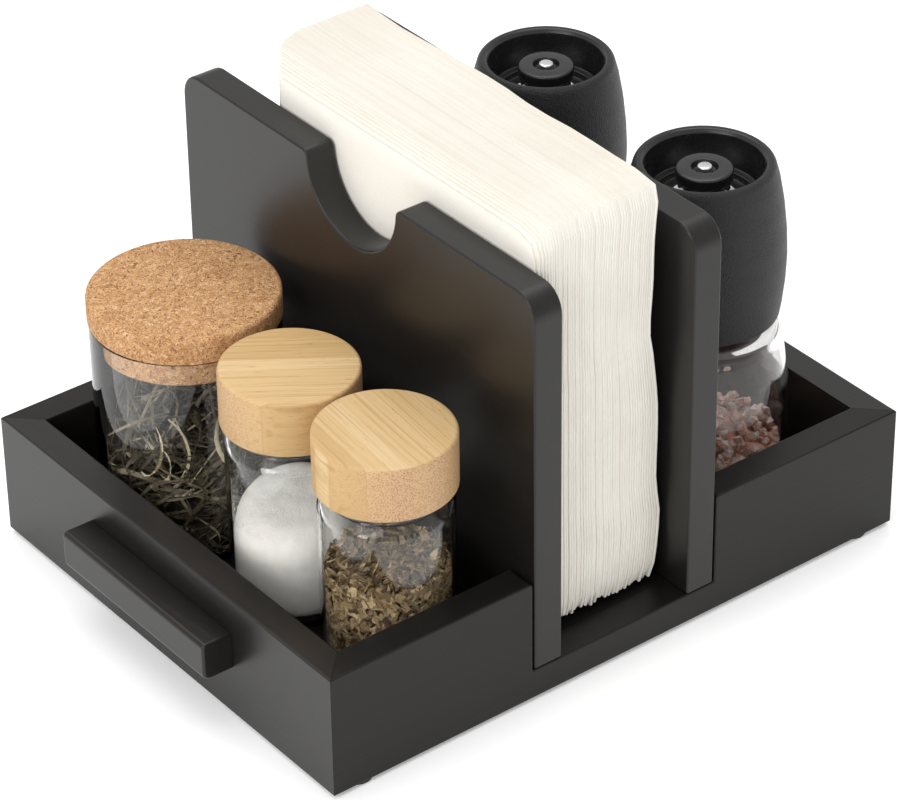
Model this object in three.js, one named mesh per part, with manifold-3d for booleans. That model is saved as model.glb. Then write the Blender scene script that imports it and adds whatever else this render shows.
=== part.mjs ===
// A stocked napkin and condiment caddy: a black painted wooden tray with two upright dividers that hold a
// stack of napkins, a cork-stoppered jar and two screw-lid spice jars in one tray, two mills in the other.
// Millimetres, +Z up. X runs along the tray (a handle at each end), Y across it.
// The origin is on the table, under the middle of the tray.
import * as THREE from "three";
import { mergeVertices } from "three/addons/utils/BufferGeometryUtils.js";
import Module from "manifold-3d";

// ---- driving dimensions: the wooden tray ----
const LENGTH = 254;
const WIDTH = 200;
const STOCK = 12; // thickness of every board
const BOARD_H = 49;
const FLOOR_TOP = 12; // height of the tray floor and of the cut-down sills
const FOOT_H = 1.5;
const SLOT = 57; // clear space between the dividers
const DIVIDER_TOP = 162;
const DIVIDER_CORNER_R = 9.5;
const DIVIDER_EDGE = 1;
const NOTCH = { r: 25, sink: 1, lip: 3, start: 0.08 }; // the half-round finger notch and its eased lips
const SILL_LIP = 2; // rounding where a side board drops to the sill
const EDGE = 0.8; // softened edges of the boards
const GLUE = 0.15; // a glue line or a paint film between two pieces
const SHADOW_GAP = 0.7; // between a side board and a divider end
const GROOVE_DEPTH = 6;
const GROOVE_UP = 3; // height of the floor groove above the bottom edge
const HANDLE = { length: 86, depth: 12, height: 15, up: 20.3, lowRadius: 3, topRadius: 2, edge: 1.2 };
const HANDLE_MID = HANDLE.up + HANDLE.height / 2;
const FOOT = { r: 5.5, inset: 14, taper: 0.5, glue: 0.1 };
const SCREW = { shankR: 2, headR: 4, headH: 2.6, rim: 0.3, point: 2 };
const HANDLE_SCREW = { at: [-26, 26], bite: 8 }; // bite: how far the thread enters the handle
const DIVIDER_SCREW = { at: [-70, 70], bite: 18 };
const SPLINE = { length: 13, thick: 3, height: 30, inward: 0.6, up: 1.5 };
const MITRE = { reach: STOCK + 2, past: 1, clear: 5 }; // the cutter that mitres a board's end
const OVERCUT = 2; // how far a cutter runs past a board
const ROUND = 20; // segments of a full turn

// ---- driving dimensions: what the caddy holds ----
const LIFT = 0.2; // what stands on the tray floor clears it by this
const REST = FLOOR_TOP + LIFT;
const NAPKINS = { thick: 51.5, width: 162, height: 165, corner: 6, heel: 4, edge: 2.5 };
const NAPKINS_AT = { fromLeft: 0.6, across: -5.5 };
const GLASS = { heel: 2, heelUp: 2.4, lip: 0.8, inside: 3 }; // the eased corners of a jar
const FILL = { side: 0.5, under: 0.3, heel: 4.5 }; // the gaps round a filling, and the chamfer at its foot
const CORK_JAR = { r: 34.3, height: 86, wall: 2.8, base: 4, tea: 38, dome: 5 };
const STOPPER = { headR: 34.7, headH: 10, plugR: 31.1, plugH: 10, chamfer: 1.2, seat: 0.2 };
const SPICE_JAR = { r: 23.7, height: 90, wall: 2.3, base: 4, shoulder: 65, neckFrom: 70, neckR: 20 };
const SPICE_DOME = 1.5;
const LID = { r: 24.9, height: 21, bottom: 75, topWall: 4, insertR: 22.3, threadR: 20.35, chamfer: 1.2 };
const THREAD = { up: 6.7, half: 1.3, deep: 0.6 }; // the ridge in a lid that runs on the jar's thread
const MILL_JAR = { r: 33, wall: 2.6, base: 4.5, neckR: 21, top: 98 };
const MILL_TOP = 137;
const MILL_FILL = { level: 25, dome: 3 };
const BRIDGE_Z = MILL_JAR.top - 6;
const FLANGE = { top: 122, thick: 2.5, hole: 12.7 };
const ROTOR = { topR: 12.2, bottomR: 9.9, bottom: 110, top: 123.4 };
const BURR_R = 18;
const BURR_GAP = 0.7;
const KNOB = { r: 9.8, bottom: 127.4, top: 134.6, teeth: 10 };
const PIN = { r: 2.7, top: 135.4, clear: 0.3 };

const wasm = await Module();
wasm.setup();

// ---- geometry helpers ----

// A closed geometry as a manifold solid.
function toSolid(geometry) {
  const bare = geometry.clone();
  bare.deleteAttribute("normal");
  bare.deleteAttribute("uv");
  const merged = mergeVertices(bare, 1e-4);
  const mesh = new wasm.Mesh({
    numProp: 3,
    vertProperties: new Float32Array(merged.attributes.position.array),
    triVerts: new Uint32Array(merged.index.array),
  });
  return new wasm.Manifold(mesh);
}

// A manifold solid as a geometry.
function toGeometry(solid) {
  const mesh = solid.getMesh();
  const positions = new Float32Array(mesh.numVert * 3);
  for (let i = 0; i < mesh.numVert; i++) {
    const from = i * mesh.numProp;
    positions.set(mesh.vertProperties.subarray(from, from + 3), i * 3);
  }
  const geometry = new THREE.BufferGeometry();
  geometry.setAttribute("position", new THREE.BufferAttribute(positions, 3));
  geometry.setIndex(new THREE.BufferAttribute(new Uint32Array(mesh.triVerts), 1));
  geometry.computeVertexNormals();
  return geometry;
}

// The first geometry with the others cut away.
function cut(geometry, ...tools) {
  let solid = toSolid(geometry);
  for (const tool of tools) {
    solid = solid.subtract(toSolid(tool));
  }
  return toGeometry(solid);
}

// The geometries joined into one.
function join(...pieces) {
  let solid = toSolid(pieces[0]);
  for (const piece of pieces.slice(1)) {
    solid = solid.add(toSolid(piece));
  }
  return toGeometry(solid);
}

// A shape through points; three-number points are corners rounded by their third number.
function outline(points) {
  const shape = new THREE.Shape();
  const count = points.length;
  points.forEach(([x, y, radius = 0], i) => {
    const here = new THREE.Vector2(x, y);
    const before = new THREE.Vector2(...points[(i + count - 1) % count].slice(0, 2));
    const after = new THREE.Vector2(...points[(i + 1) % count].slice(0, 2));
    const enter = here.clone().add(before.sub(here).setLength(radius));
    const leave = here.clone().add(after.sub(here).setLength(radius));
    if (i === 0) {
      shape.moveTo(enter.x, enter.y);
    } else {
      shape.lineTo(enter.x, enter.y);
    }
    if (radius > 0) {
      shape.quadraticCurveTo(x, y, leave.x, leave.y);
    }
  });
  shape.closePath();
  return shape;
}

// A shape extruded up from z = 0 with softened edges; the shape keeps its full size.
function plate(shape, thick, edge = EDGE, curveSegments = 5) {
  const geometry = new THREE.ExtrudeGeometry(shape, {
    depth: thick - 2 * edge,
    bevelEnabled: edge > 0,
    bevelThickness: edge,
    bevelSize: edge,
    bevelOffset: -edge,
    bevelSegments: 1,
    curveSegments,
  });
  return geometry.translate(0, 0, edge);
}

// A box given by its low and high corners.
function box(low, high) {
  const size = high.map((value, i) => value - low[i]);
  const middle = high.map((value, i) => (value + low[i]) / 2);
  return new THREE.BoxGeometry(...size).translate(...middle);
}

// A profile of [radius, height] points, going up the outside, turned about Z.
function turned(profile, segments = ROUND) {
  const points = profile.map(([radius, height]) => new THREE.Vector2(radius, height));
  return new THREE.LatheGeometry(points, segments).rotateX(Math.PI / 2);
}

// A ring: a closed profile turned about Z.
function ring(profile, segments = ROUND) {
  return turned([...profile, profile[0]], segments);
}

// A countersunk screw pointing up from its head at z = 0. Grown by a clearance, it cuts its own hole.
function screwBody(length, grow = 0) {
  const { shankR, headR, headH, rim, point } = SCREW;
  const shank = shankR + grow;
  const head = headR + grow;
  const foot = grow > 0 ? -1 : 0;
  const tip = length + grow;
  return turned([[0, foot], [head, foot], [head, rim], [shank, headH], [shank, tip - point], [0, tip]], 8);
}

// ---- materials ----
function material(color, roughness, metalness = 0, opacity = 1) {
  return new THREE.MeshStandardMaterial({ color, roughness, metalness, opacity, transparent: opacity < 1 });
}

const paint = material(0x23211f, 0.45);
const rubber = material(0x141414, 0.8);
const zinc = material(0xa8a8a2, 0.35, 1);
const beech = material(0xb99a6b, 0.7);
const paper = material(0xf6f1e6, 0.9);
const glass = material(0xdfe6e4, 0.05, 0, 0.35);
const cork = material(0xc09063, 0.85);
const bamboo = material(0xdcb577, 0.5);
const liner = material(0x181818, 0.5);
const silicone = material(0xd9d9d6, 0.6);
const tea = material(0x3a3d2a, 0.9);
const salt = material(0xe9e4dc, 0.8);
const herbs = material(0x6c6038, 0.9);
const pinkSalt = material(0xc98c78, 0.4);
const blackPlastic = material(0x1d1d1f, 0.5);
const glossPlastic = material(0x101011, 0.25);
const ceramic = material(0xe9e7e0, 0.3);
const steel = material(0xc9cbcc, 0.25, 1);

// ---- placing meshes ----
const root = new THREE.Group();
const frame = new THREE.Group();
frame.position.z = FOOT_H;
root.add(frame);

function put(parent, name, geometry, look) {
  const mesh = new THREE.Mesh(geometry, look);
  mesh.name = name;
  parent.add(mesh);
  return mesh;
}

const HALF_L = LENGTH / 2;
const HALF_W = WIDTH / 2;
const SLOT_HALF = SLOT / 2;
const DIVIDER_OUT = SLOT_HALF + STOCK; // |x| of a divider's tray-side face

// ---- the tray ----

// An upright cutter, taller than a board, over an outline of [x, y] corners.
function cutter(corners) {
  const shape = new THREE.Shape(corners.map(([x, y]) => new THREE.Vector2(x, y)));
  const tall = new THREE.ExtrudeGeometry(shape, { depth: BOARD_H + 2 * OVERCUT, bevelEnabled: false });
  return tall.translate(0, 0, -OVERCUT);
}

// What lies beyond the mitre at one end of a side board.
function mitreOfSide(end, side) {
  const { reach, past, clear } = MITRE;
  return cutter([
    [end * (HALF_L + past - GLUE), side * (HALF_W + past)],
    [end * (HALF_L - reach - GLUE), side * (HALF_W - reach)],
    [end * (HALF_L + clear), side * (HALF_W - reach)],
    [end * (HALF_L + clear), side * (HALF_W + past)],
  ]);
}

// What lies beyond the mitre at one side of an end board.
function mitreOfEnd(end, side) {
  const { reach, past, clear } = MITRE;
  return cutter([
    [end * (HALF_L + past), side * (HALF_W + past - GLUE)],
    [end * (HALF_L - reach), side * (HALF_W - reach - GLUE)],
    [end * (HALF_L - reach), side * (HALF_W + clear)],
    [end * (HALF_L + past), side * (HALF_W + clear)],
  ]);
}

// The slot for a loose tongue across a mitre, or the tongue itself, centred on the corner's glue line.
function spline(end, side, grow = 0) {
  const { length, thick, height, inward, up } = SPLINE;
  const tongue = plate(
    outline([[-length / 2 - grow, -grow], [length / 2 + grow, -grow],
      [length / 2 + grow, height + grow], [-length / 2 - grow, height + grow]]),
    thick + 2 * grow, 0);
  tongue.translate(0, 0, -thick / 2 - grow);
  tongue.rotateX(Math.PI / 2);
  tongue.rotateZ((-end * side * Math.PI) / 4);
  const inset = STOCK / 2 + inward;
  return tongue.translate(end * (HALF_L - inset), side * (HALF_W - inset), FLOOR_TOP + up);
}

// The groove that holds the floor panel, cut round all four boards at once.
function floorGroove() {
  const reach = STOCK - GROOVE_DEPTH;
  return box([-HALF_L + reach, -HALF_W + reach, GROOVE_UP], [HALF_L - reach, HALF_W - reach, FLOOR_TOP]);
}

// A side board: full height at its ends, cut down to the tray floor between the dividers.
function sideBoard(side) {
  const high = DIVIDER_OUT + SHADOW_GAP;
  const face = outline([
    [-HALF_L, 0], [HALF_L, 0], [HALF_L, BOARD_H], [high, BOARD_H, SILL_LIP], [high, FLOOR_TOP],
    [-high, FLOOR_TOP], [-high, BOARD_H, SILL_LIP], [-HALF_L, BOARD_H],
  ]);
  const board = plate(face, STOCK).rotateX(Math.PI / 2);
  board.translate(0, side * (HALF_W - STOCK / 2) + STOCK / 2, 0);
  const mitres = [-1, 1].map((end) => mitreOfSide(end, side));
  const slots = [-1, 1].map((end) => spline(end, side, GLUE));
  return cut(board, ...mitres, ...slots, floorGroove());
}

// An end board, drilled for the screws of its handle.
function endBoard(end) {
  const face = outline([[-HALF_W, 0], [HALF_W, 0], [HALF_W, BOARD_H], [-HALF_W, BOARD_H]]);
  const board = plate(face, STOCK).rotateX(Math.PI / 2).rotateZ(Math.PI / 2);
  board.translate(end * (HALF_L - STOCK / 2) - STOCK / 2, 0, 0);
  const mitres = [-1, 1].map((side) => mitreOfEnd(end, side));
  const slots = [-1, 1].map((side) => spline(end, side, GLUE));
  const screws = HANDLE_SCREW.at.map((y) => handleScrew(end, y, GLUE));
  return cut(board, ...mitres, ...slots, floorGroove(), ...screws);
}

// A screw from inside the tray through the end board into the handle.
function handleScrew(end, y, grow = 0) {
  const screw = screwBody(STOCK + HANDLE_SCREW.bite, grow);
  screw.rotateY((end * Math.PI) / 2);
  return screw.translate(end * (HALF_L - STOCK), y, HANDLE_MID);
}

// A handle: a bar across the end board, its outer corners rounded.
function handle(end) {
  const { length, depth, height, up, lowRadius, topRadius, edge } = HANDLE;
  const section = outline([[0, 0], [depth, 0, lowRadius], [depth, height, topRadius], [0, height]]);
  const bar = plate(section, length, edge, 4).rotateX(Math.PI / 2);
  bar.translate(0, length / 2, up);
  if (end < 0) {
    bar.rotateZ(Math.PI);
  }
  bar.translate(end * (HALF_L + GLUE), 0, 0);
  return cut(bar, ...HANDLE_SCREW.at.map((y) => handleScrew(end, y, GLUE)));
}

// A divider: an upright board with rounded top corners and a half-round finger notch in its top edge.
function divider(end) {
  const { r, sink, lip, start } = NOTCH;
  const shape = new THREE.Shape();
  const bottom = FLOOR_TOP + GLUE;
  shape.moveTo(-HALF_W, bottom);
  shape.lineTo(HALF_W, bottom);
  shape.lineTo(HALF_W, DIVIDER_TOP - DIVIDER_CORNER_R);
  shape.absarc(HALF_W - DIVIDER_CORNER_R, DIVIDER_TOP - DIVIDER_CORNER_R, DIVIDER_CORNER_R, 0, Math.PI / 2);
  shape.lineTo(r + lip, DIVIDER_TOP);
  shape.quadraticCurveTo(r, DIVIDER_TOP, r, DIVIDER_TOP - lip);
  shape.absarc(0, DIVIDER_TOP - sink, r, -start, -Math.PI + start, true);
  shape.quadraticCurveTo(-r, DIVIDER_TOP, -r - lip, DIVIDER_TOP);
  shape.lineTo(-HALF_W + DIVIDER_CORNER_R, DIVIDER_TOP);
  shape.absarc(-HALF_W + DIVIDER_CORNER_R, DIVIDER_TOP - DIVIDER_CORNER_R, DIVIDER_CORNER_R,
    Math.PI / 2, Math.PI);
  shape.closePath();
  const board = plate(shape, STOCK, DIVIDER_EDGE, 6).rotateX(Math.PI / 2).rotateZ(Math.PI / 2);
  board.translate(end * (SLOT_HALF + STOCK / 2) - STOCK / 2, 0, 0);
  return cut(board, ...DIVIDER_SCREW.at.map((y) => dividerScrew(end, y, GLUE)));
}

// A screw up through the floor panel into a divider.
function dividerScrew(end, y, grow = 0) {
  const length = FLOOR_TOP - GROOVE_UP + DIVIDER_SCREW.bite;
  return screwBody(length, grow).translate(end * (SLOT_HALF + STOCK / 2), y, GROOVE_UP);
}

// The floor: one panel held in the groove of all four boards.
function floorPanel() {
  const inset = STOCK - GROOVE_DEPTH + GLUE;
  const panel = box([-HALF_L + inset, -HALF_W + inset, GROOVE_UP + GLUE],
    [HALF_L - inset, HALF_W - inset, FLOOR_TOP - GLUE]);
  const screws = [-1, 1].flatMap((end) => DIVIDER_SCREW.at.map((y) => dividerScrew(end, y, GLUE)));
  return cut(panel, ...screws);
}

// A stick-on rubber foot under a side board.
function foot() {
  const { r, taper, glue } = FOOT;
  return turned([[0, -FOOT_H], [r - taper, -FOOT_H], [r, -glue], [0, -glue]], 16);
}

const ends = [[-1, "left"], [1, "right"]];
const sides = [[-1, "near"], [1, "far"]];

put(frame, "floor_panel", floorPanel(), paint);
for (const [side, sideName] of sides) {
  put(frame, `side_board_${sideName}`, sideBoard(side), paint);
}
for (const [end, endName] of ends) {
  put(frame, `end_board_${endName}`, endBoard(end), paint);
  put(frame, `divider_${endName}`, divider(end), paint);
  put(frame, `handle_${endName}`, handle(end), paint);
  for (const [index, y] of HANDLE_SCREW.at.entries()) {
    put(frame, `handle_screw_${endName}_${index + 1}`, handleScrew(end, y), zinc);
  }
  for (const [index, y] of DIVIDER_SCREW.at.entries()) {
    put(frame, `divider_screw_${endName}_${index + 1}`, dividerScrew(end, y), zinc);
  }
  for (const [side, sideName] of sides) {
    put(frame, `corner_spline_${sideName}_${endName}`, spline(end, side), beech);
    const pad = put(frame, `foot_${sideName}_${endName}`, foot(), rubber);
    pad.position.set(end * (HALF_L - FOOT.inset), side * (HALF_W - STOCK / 2), 0);
  }
}

// ---- the napkins ----
function napkinStack() {
  const { thick, width, height, corner, heel, edge } = NAPKINS;
  const half = width / 2;
  const face = outline([[-half, 0, heel], [half, 0, heel], [half, height, corner], [-half, height, corner]]);
  return plate(face, thick, edge).rotateX(Math.PI / 2).rotateZ(Math.PI / 2);
}

const napkins = put(frame, "napkin_stack", napkinStack(), paper);
napkins.position.set(-SLOT_HALF + NAPKINS_AT.fromLeft, NAPKINS_AT.across, REST);

// ---- jars ----

// A group that stands on the tray floor.
function standing(x, y) {
  const group = new THREE.Group();
  group.position.set(x, y, REST);
  frame.add(group);
  return group;
}

// A filling: a turned heap inside a jar, with a slightly domed top.
function filling(jar, level, dome) {
  const radius = jar.r - jar.wall - FILL.side;
  const base = jar.base + FILL.under;
  return turned([[0, base], [radius - FILL.heel, base], [radius, base + FILL.heel], [radius, level],
    [0, level + dome]]);
}

const CORK_BASE = CORK_JAR.height - STOPPER.plugH;

function corkJarGlass() {
  const { r, height, wall, base } = CORK_JAR;
  const { heel, heelUp, lip, inside } = GLASS;
  const inner = r - wall;
  return turned([[0, 0], [r - heel, 0], [r, heelUp], [r, height - lip], [r - lip, height],
    [inner + lip, height], [inner, height - lip], [inner, base + inside], [inner - inside, base], [0, base]]);
}

// The stopper: a tapered plug in the mouth under a head as wide as the jar.
function corkStopper() {
  const { headR, headH, plugR, plugH, chamfer } = STOPPER;
  const seat = CORK_BASE + plugH + STOPPER.seat;
  return turned([[0, CORK_BASE], [plugR - 1.4, CORK_BASE], [plugR - 0.5, CORK_BASE + 0.8], [plugR, seat],
    [headR, seat], [headR, seat + headH - chamfer], [headR - chamfer, seat + headH], [0, seat + headH]]);
}

const corkJar = standing(-77.5, 50.5);
put(corkJar, "cork_jar_glass", corkJarGlass(), glass);
put(corkJar, "cork_stopper", corkStopper(), cork);
put(corkJar, "tea_leaves", filling(CORK_JAR, CORK_JAR.tea, CORK_JAR.dome), tea);

function spiceJarGlass() {
  const { r, height, wall, base, shoulder, neckFrom, neckR } = SPICE_JAR;
  const { heel, heelUp, inside } = GLASS;
  const inner = r - wall;
  const mouth = neckR - wall;
  return turned([[0, 0], [r - heel, 0], [r, heelUp], [r, shoulder], [r - 1, shoulder + 3], [neckR, neckFrom],
    [neckR, height], [mouth, height], [mouth, neckFrom - 1], [inner - 1, shoulder + 1], [inner, shoulder - 2],
    [inner, base + inside], [inner - inside, base], [0, base]]);
}

// The bamboo cap: a turned cup, open below.
function lidShell() {
  const { r, height, bottom, topWall, insertR, chamfer } = LID;
  const top = bottom + height;
  const bore = insertR + GLUE;
  return turned([[0, top - topWall], [bore, top - topWall], [bore, bottom], [r - 0.5, bottom],
    [r, bottom + 0.5], [r, top - chamfer], [r - chamfer, top], [0, top]]);
}

// The threaded plastic cup glued inside the cap.
function lidInsert() {
  const { height, bottom, topWall, insertR, threadR } = LID;
  const { up, half, deep } = THREAD;
  const roof = bottom + height - topWall - GLUE;
  const clear = threadR + deep;
  return turned([[0, roof - 1], [clear, roof - 1], [clear, bottom + up + half], [threadR, bottom + up],
    [clear, bottom + up - half], [clear, bottom + 1], [insertR, bottom + 1], [insertR, roof], [0, roof]]);
}

// The sealing disc under the insert's roof, over the glass rim.
function lidGasket() {
  const { height, bottom, topWall, threadR } = LID;
  const roof = bottom + height - topWall - GLUE - 1;
  const under = SPICE_JAR.height + 0.1;
  return turned([[0, under], [threadR, under], [threadR, roof - GLUE], [0, roof - GLUE]], 16);
}

function spiceJar(name, x, y, contents, look, level) {
  const jar = standing(x, y);
  put(jar, `${name}_jar_glass`, spiceJarGlass(), glass);
  put(jar, `${name}_lid_shell`, lidShell(), bamboo);
  put(jar, `${name}_lid_insert`, lidInsert(), liner);
  put(jar, `${name}_lid_gasket`, lidGasket(), silicone);
  put(jar, contents, filling(SPICE_JAR, level, SPICE_DOME), look);
}

spiceJar("salt", -77.6, -12.6, "table_salt", salt, 38);
spiceJar("herb", -75.4, -63.6, "dried_herbs", herbs, 42);

// ---- mills ----

function millGlass() {
  const { r, wall, base, neckR, top } = MILL_JAR;
  const inner = r - wall;
  const mouth = neckR - wall;
  return turned([[0, 0], [r - 2.6, 0], [r, 3], [r, 41], [r - 1.9, 56], [r - 3.7, 67.5], [r - 6.6, 73.6],
    [neckR, 77], [neckR, top], [mouth, top], [mouth, 74.5], [inner - 4.6, 68], [inner - 1.9, 55], [inner, 40],
    [inner, base + 4], [inner - 4, base], [0, base]]);
}

// The head's grip: a barrel shell with an open dished top and a flange inside that carries the outer burr.
function millShell() {
  const { top, thick, hole } = FLANGE;
  const collarR = MILL_JAR.neckR + 0.5;
  return ring([[collarR, 77.3], [28, 77.3], [29.2, 87], [29.9, 97.5], [29.4, 111], [27.8, 124.5],
    [25.6, 133.5], [23.4, MILL_TOP], [21.4, 136], [20, 128], [19.6, top], [hole, top], [hole, top - thick],
    [collarR + 1.6, top - thick], [collarR + 1.6, 100], [collarR, 99]]);
}

// The outer burr: a ceramic ring with a conical bore, under the flange.
function outerBurr() {
  const under = FLANGE.top - FLANGE.thick - GLUE;
  const topR = ROTOR.topR + BURR_GAP;
  const bottomR = ROTOR.bottomR + BURR_GAP;
  return ring([[bottomR, ROTOR.bottom], [BURR_R, ROTOR.bottom], [BURR_R, under], [topR, under]]);
}

// The inner burr: a ceramic cone on the pin, wide end up, with milled teeth cut down its side.
function innerBurr() {
  const { topR, bottomR, bottom, top } = ROTOR;
  const bore = PIN.r + PIN.clear;
  const cone = ring([[bore, bottom], [bottomR, bottom], [topR, top - 1], [topR - 0.6, top], [bore, top]], 16);
  const grooves = Array.from({ length: 8 }, (_, i) => {
    const tooth = new THREE.BoxGeometry(1.6, 1.6, 12).rotateZ(Math.PI / 4);
    tooth.rotateY(Math.atan((topR - bottomR) / (top - bottom)));
    tooth.translate((topR + bottomR) / 2 + 0.5, 0, bottom + 4.8);
    return tooth.rotateZ(((i + 0.25) * Math.PI) / 4);
  });
  return cut(cone, ...grooves);
}

// The adjusting knob: a disc with a toothed skirt, screwed on the pin.
function knob() {
  const { r, bottom, top, teeth } = KNOB;
  const bore = PIN.r + PIN.clear;
  const body = ring([[bore, bottom], [r - 1.8, bottom], [r - 1.4, bottom + 2.6], [r, bottom + 3.2],
    [r, top - 0.8], [r - 0.6, top], [bore, top]]);
  const skirt = Array.from({ length: teeth }, (_, i) => {
    const tooth = box([r - 2.6, -0.9, bottom + 0.2], [r - 0.3, 0.9, bottom + 3.4]);
    return tooth.rotateZ(((i + 0.25) * 2 * Math.PI) / teeth);
  });
  return join(body, ...skirt);
}

// The bridge: a spoked plastic plug in the glass neck that holds the pin.
function bridge() {
  const plugR = MILL_JAR.neckR - MILL_JAR.wall - GLUE;
  const lipR = plugR + 1.4;
  const lipZ = MILL_JAR.top + 0.3;
  const hubTop = BRIDGE_Z + 10;
  const hubBore = PIN.r + GLUE;
  const rim = ring([[plugR - 2.4, BRIDGE_Z], [plugR, BRIDGE_Z], [plugR, lipZ], [lipR, lipZ],
    [lipR, lipZ + 1.2], [plugR - 2.4, lipZ + 1.2]]);
  const hub = ring([[hubBore, BRIDGE_Z], [6, BRIDGE_Z], [6, hubTop], [hubBore, hubTop]], 12);
  const spokes = [0, 1, 2].map((i) => {
    const spoke = box([5, -1.6, BRIDGE_Z], [plugR - 1, 1.6, BRIDGE_Z + 5]);
    return spoke.rotateZ((i * 2 * Math.PI) / 3);
  });
  return join(rim, hub, ...spokes);
}

// The steel pin up the middle of a mill.
function pin() {
  return turned([[0, BRIDGE_Z], [PIN.r, BRIDGE_Z], [PIN.r, PIN.top - 0.7], [PIN.r - 0.7, PIN.top],
    [0, PIN.top]], 12);
}

function mill(name, x, y) {
  const group = standing(x, y);
  put(group, `${name}_mill_glass`, millGlass(), glass);
  put(group, `${name}_mill_bridge`, bridge(), glossPlastic);
  put(group, `${name}_mill_pin`, pin(), steel);
  put(group, `${name}_mill_shell`, millShell(), blackPlastic);
  put(group, `${name}_mill_outer_burr`, outerBurr(), ceramic);
  put(group, `${name}_mill_inner_burr`, innerBurr(), ceramic);
  put(group, `${name}_mill_knob`, knob(), glossPlastic);
  put(group, `${name}_mill_salt`, filling(MILL_JAR, MILL_FILL.level, MILL_FILL.dome), pinkSalt);
}

mill("near", 76.1, -50);
mill("far", 79.5, 42);

export default root;
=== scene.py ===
"""The looks of the napkin and condiment caddy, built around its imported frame.

Lengths are in millimetres until a mesh is scaled by MM."""

import math
import random

import bmesh
import bpy
from mathutils import Matrix, Vector, noise


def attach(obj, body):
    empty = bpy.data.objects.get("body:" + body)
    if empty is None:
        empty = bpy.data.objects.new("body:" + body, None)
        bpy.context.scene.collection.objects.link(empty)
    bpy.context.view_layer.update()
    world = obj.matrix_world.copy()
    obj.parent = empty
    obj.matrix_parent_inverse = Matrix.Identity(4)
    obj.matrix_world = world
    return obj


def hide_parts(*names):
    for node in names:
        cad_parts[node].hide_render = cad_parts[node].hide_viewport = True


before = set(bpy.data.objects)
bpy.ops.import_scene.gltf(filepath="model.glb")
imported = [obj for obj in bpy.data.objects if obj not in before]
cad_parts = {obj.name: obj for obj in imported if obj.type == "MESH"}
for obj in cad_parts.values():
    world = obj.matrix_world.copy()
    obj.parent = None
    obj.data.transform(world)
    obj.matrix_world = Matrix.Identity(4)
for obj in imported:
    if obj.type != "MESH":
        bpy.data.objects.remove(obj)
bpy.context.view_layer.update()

MM = 0.001
RIGHT_ANGLE = math.pi / 2
FULL_TURN = 2 * math.pi

# ---- the tray's sizes ----
HALF_L = 127.0
HALF_W = 100.0
STOCK = 12.0
TABLE_GAP = 1.5  # the feet lift the tray this much
BOARD_TOP = 49.0 + TABLE_GAP
SILL_TOP = 12.0 + TABLE_GAP
DIVIDER_TOP = 162.0 + TABLE_GAP
SLOT_HALF = 28.5
DIVIDER_OUT = SLOT_HALF + STOCK
REST = 13.7  # what stands on the tray floor
ENDS = ((-1, "left"), (1, "right"))
SIDES = ((-1, "near"), (1, "far"))

# ---- where the jars and mills stand ----
CORK_JAR_AT = (-77.5, 50.5)
SALT_JAR_AT = (-77.6, -12.6)
HERB_JAR_AT = (-75.4, -63.6)
MILLS_AT = (("near", (76.1, -50.0)), ("far", (79.5, 42.0)))

JAR_SEGMENTS = 112

# ---- the camera, and the lamps as (place, size, power); lengths here are metres ----
CAMERA_AT = (-0.73817, -0.96473, 0.86734)
CAMERA_RIGHT = (0.78895, -0.61433, -0.01237)
CAMERA_UP = (0.34924, 0.43176, 0.83163)
CAMERA_BACK = (-0.50555, -0.66044, 0.55519)
SENSOR_WIDTH = 36.0
FOCAL_LENGTH = 162.8
AIM = (0, 0, 0.07)
LAMPS = {
    "key": ((-1.6, -0.5, 1.35), (1.4, 1.4), 10),
    "top": ((0.2, 0.4, 2.0), (2.0, 2.0), 23),
    "window": ((-1.25, -0.35, 0.62), (0.35, 0.6), 3),
}
WORLD_STRENGTH = 0.72
FLOOR_GLOW = 0.22

# ---- how strongly the paint reflects where the grain runs along the tray, and across it; it is one paint, whose weaker sheen along is painted shade on the long boards and floor panel, and whose stronger sheen across is painted light on the end boards, dividers and handles ----
SHADED_SHEEN_ALONG = 0.24
LIT_SHEEN_ACROSS = 0.41


# ======== camera, floor and lights

def add_camera():
    data = bpy.data.cameras.new("camera")
    data.sensor_width = SENSOR_WIDTH
    data.lens = FOCAL_LENGTH
    data.clip_end = 50.0
    camera = bpy.data.objects.new("camera", data)
    turn = Matrix((CAMERA_RIGHT, CAMERA_UP, CAMERA_BACK)).transposed().to_4x4()
    camera.matrix_world = Matrix.Translation(CAMERA_AT) @ turn
    bpy.context.scene.collection.objects.link(camera)
    bpy.context.scene.camera = camera


def area_light(name, at, size, power):
    data = bpy.data.lights.new(name, "AREA")
    data.shape = "RECTANGLE"
    data.size, data.size_y = size
    data.energy = power
    lamp = bpy.data.objects.new(name, data)
    lamp.location = at
    lamp.rotation_euler = (Vector(AIM) - Vector(at)).to_track_quat("-Z", "Y").to_euler()
    bpy.context.scene.collection.objects.link(lamp)


def add_light():
    world = bpy.data.worlds.new("studio")
    world.use_nodes = True
    background = world.node_tree.nodes["Background"]
    background.inputs["Color"].default_value = (1.0, 1.0, 1.0, 1)
    background.inputs["Strength"].default_value = WORLD_STRENGTH
    bpy.context.scene.world = world
    for name, (at, size, power) in LAMPS.items():
        area_light(name, at, size, power)
    bpy.context.scene.view_settings.view_transform = "Standard"


# ======== shader helpers

def material(name):
    made = bpy.data.materials.new(name)
    made.use_nodes = True
    return made, made.node_tree, made.node_tree.nodes["Principled BSDF"]


def add(tree, kind, inputs=None, **settings):
    """A shader node with its settings made, and its inputs linked or set."""
    node = tree.nodes.new(kind)
    for key, value in settings.items():
        setattr(node, key, value)
    for key, value in (inputs or {}).items():
        feed(tree, node, key, value)
    return node


def feed(tree, node, key, value):
    if isinstance(value, bpy.types.NodeSocket):
        tree.links.new(value, node.inputs[key])
    else:
        node.inputs[key].default_value = value


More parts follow.
